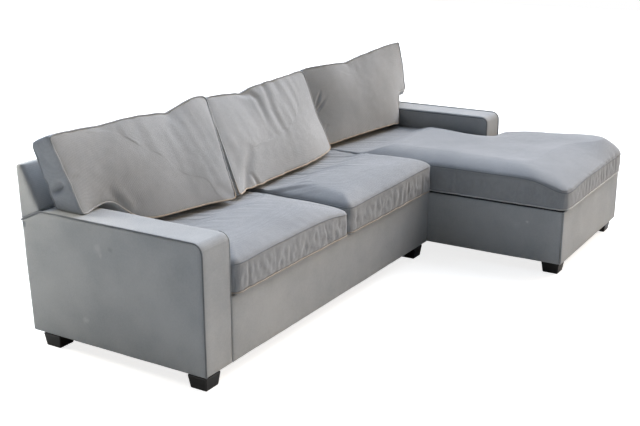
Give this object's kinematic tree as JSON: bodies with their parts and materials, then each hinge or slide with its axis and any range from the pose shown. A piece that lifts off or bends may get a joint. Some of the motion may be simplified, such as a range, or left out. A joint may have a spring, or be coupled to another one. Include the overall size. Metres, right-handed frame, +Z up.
{
  "type": "sleeper sectional sofa",
  "caption": "Sectional sofa with a chaise, loose seat and back cushions, and a tri-fold bed on lifting links stored under the seat of the longer module.",
  "frame": {"origin": "middle of the footprint on the floor", "axes": "+X to the chaise side as seen from the front, +Y towards the back, +Z up"},
  "size_m": [2.925, 1.726, 0.9621],
  "materials": {
    "upholstery_fabric": "flat woven blue grey cloth",
    "cushion_fabric": "flat woven blue grey cloth over soft fill",
    "frame_timber": "raw sawn timber",
    "black_wood": "black satin lacquer",
    "painted_steel": "grey powder coat",
    "zinc_steel": "zinc plate",
    "mattress_ticking": "quilted ticking",
    "deck_webbing": "woven deck cloth",
    "dust_cloth": "thin black non-woven cloth"
  },
  "bodies": {
    "sofa_base": {"chaise_back_cover": "upholstery_fabric", "chaise_back_frame": "frame_timber", "chaise_deck": "deck_webbing", "chaise_dust_cover": "dust_cloth", "chaise_foot_front_left": "black_wood", "chaise_foot_front_right": "black_wood", "chaise_foot_rear_left": "black_wood", "chaise_foot_rear_right": "black_wood", "chaise_frame": "frame_timber", "chaise_front_cover": "upholstery_fabric", "chaise_left_cover": "upholstery_fabric", "chaise_right_cover": "upholstery_fabric", "front_clip_keeper": "zinc_steel", "front_clip_tongue": "zinc_steel", "front_rail_board": "frame_timber", "front_rail_cover": "upholstery_fabric", "left_arm_cover": "upholstery_fabric", "left_arm_frame": "frame_timber", "left_channel": "painted_steel", "rear_clip_keeper": "zinc_steel", "rear_clip_tongue": "zinc_steel", "right_arm_cover": "upholstery_fabric", "right_arm_frame": "frame_timber", "right_channel": "painted_steel", "sleeper_back_cover": "upholstery_fabric", "sleeper_back_frame": "frame_timber", "sleeper_end_panel": "upholstery_fabric", "sleeper_foot_front_left": "black_wood", "sleeper_foot_front_right": "black_wood", "sleeper_foot_rear_left": "black_wood", "sleeper_foot_rear_right": "black_wood"},
    "front_links": {"front_link_left": "painted_steel", "front_link_right": "painted_steel"},
    "rear_links": {"rear_link_left": "painted_steel", "rear_link_right": "painted_steel"},
    "head_section": {"head_frame": "painted_steel", "head_deck": "deck_webbing", "head_mattress": "mattress_ticking"},
    "body_section": {"body_frame": "painted_steel", "body_deck": "deck_webbing", "body_mattress": "mattress_ticking"},
    "foot_section": {"foot_frame": "painted_steel", "foot_deck": "deck_webbing", "foot_mattress": "mattress_ticking", "lift_bar": "painted_steel"},
    "body_legs": {"body_leg_left": "painted_steel", "body_leg_right": "painted_steel"},
    "foot_legs": {"foot_leg_left": "painted_steel", "foot_leg_right": "painted_steel"},
    "left_seat": {"seat_cushion_left": "cushion_fabric"},
    "right_seat": {"seat_cushion_right": "cushion_fabric"},
    "left_pillow": {"back_cushion_left": "cushion_fabric"},
    "middle_pillow": {"back_cushion_middle": "cushion_fabric"},
    "chaise_seat": {"chaise_cushion": "cushion_fabric"},
    "chaise_pillow": {"chaise_back_cushion": "cushion_fabric"}
  },
  "joints": [
    {"name": "bed_open", "type": "hinge", "parent": "sofa_base", "child": "front_links", "pos_m": [-0.406, 0.002, 0.2075], "axis": [1, 0, 0], "range_deg": [0, 93]},
    {"name": "rear_link_swing", "type": "hinge", "parent": "sofa_base", "child": "rear_links", "pos_m": [-0.406, 0.352, 0.2075], "axis": [1, 0, 0], "range_deg": [0, 93]},
    {"name": "head_section_tilt", "type": "hinge", "parent": "front_links", "child": "head_section", "pos_m": [-0.406, 0.15852, 0.083], "axis": [1, 0, 0], "range_deg": [-93, 0]},
    {"name": "body_section_unfold", "type": "hinge", "parent": "head_section", "child": "body_section", "pos_m": [-0.406, -0.003, 0.1634], "axis": [1, 0, 0], "range_deg": [0, 180]},
    {"name": "foot_section_unfold", "type": "hinge", "parent": "body_section", "child": "foot_section", "pos_m": [-0.406, 0.607, 0.2533], "axis": [1, 0, 0], "range_deg": [-180, 0]},
    {"name": "body_legs_drop", "type": "hinge", "parent": "body_section", "child": "body_legs", "pos_m": [-0.406, 0.567, 0.2438], "axis": [1, 0, 0], "range_deg": [-90, 0]},
    {"name": "foot_legs_drop", "type": "hinge", "parent": "foot_section", "child": "foot_legs", "pos_m": [-0.406, 0.037, 0.2628], "axis": [1, 0, 0], "range_deg": [-90, 0]},
    {"name": "left_seat_slide", "type": "slide", "parent": "foot_section", "child": "left_seat", "axis": [0, -1, 0], "range_m": [0, 0.5]},
    {"name": "right_seat_slide", "type": "slide", "parent": "foot_section", "child": "right_seat", "axis": [0, -1, 0], "range_m": [0, 0.5]},
    {"name": "left_pillow_pull", "type": "slide", "parent": "foot_section", "child": "left_pillow", "axis": [0, -1, 0], "range_m": [0, 0.3]},
    {"name": "middle_pillow_pull", "type": "slide", "parent": "foot_section", "child": "middle_pillow", "axis": [0, -1, 0], "range_m": [0, 0.3]},
    {"name": "chaise_seat_slide", "type": "slide", "parent": "sofa_base", "child": "chaise_seat", "axis": [0, -1, 0], "range_m": [0, 0.5]},
    {"name": "chaise_pillow_pull", "type": "slide", "parent": "sofa_base", "child": "chaise_pillow", "axis": [0, -1, 0], "range_m": [0, 0.3]}
  ],
  "couplings": [
    {"joint": "rear_link_swing", "follows": "bed_open", "ratio": 1},
    {"joint": "head_section_tilt", "follows": "bed_open", "ratio": -1},
    {"joint": "body_section_unfold", "follows": "bed_open", "ratio": 1.9355},
    {"joint": "foot_section_unfold", "follows": "bed_open", "ratio": -1.9355},
    {"joint": "body_legs_drop", "follows": "bed_open", "ratio": -0.96774},
    {"joint": "foot_legs_drop", "follows": "bed_open", "ratio": -0.96774}
  ]
}
